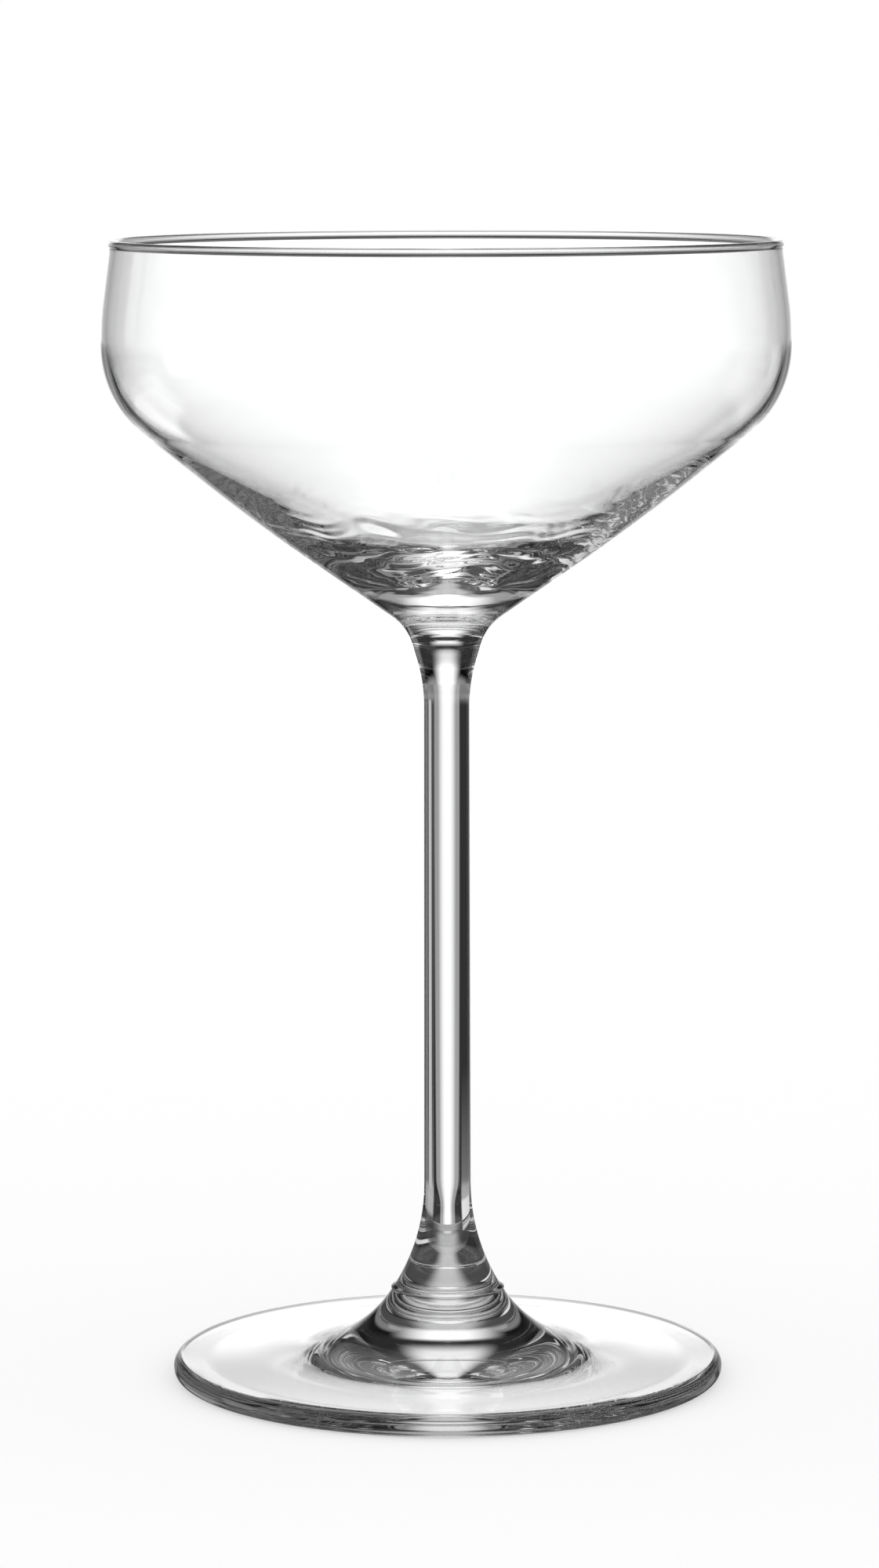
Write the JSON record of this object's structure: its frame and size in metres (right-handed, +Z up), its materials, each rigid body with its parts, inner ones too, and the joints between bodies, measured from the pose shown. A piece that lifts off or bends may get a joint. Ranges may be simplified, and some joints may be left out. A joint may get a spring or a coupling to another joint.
{
  "type": "coupe glass",
  "caption": "Clear stemmed coupe glass with a wide shallow bowl, a tall slim stem and a round foot, for serving drinks.",
  "frame": {"origin": "on the table under the middle of the foot", "axes": "+Z up along the stem, the axis that every piece is turned about; X and Y lie in the table and are alike"},
  "size_m": [0.104, 0.104, 0.174],
  "materials": {
    "clear_glass": "fire polished, clear and colourless"
  },
  "bodies": {
    "root": {"bowl": "clear_glass", "stem": "clear_glass", "foot": "clear_glass"}
  },
  "joints": []
}
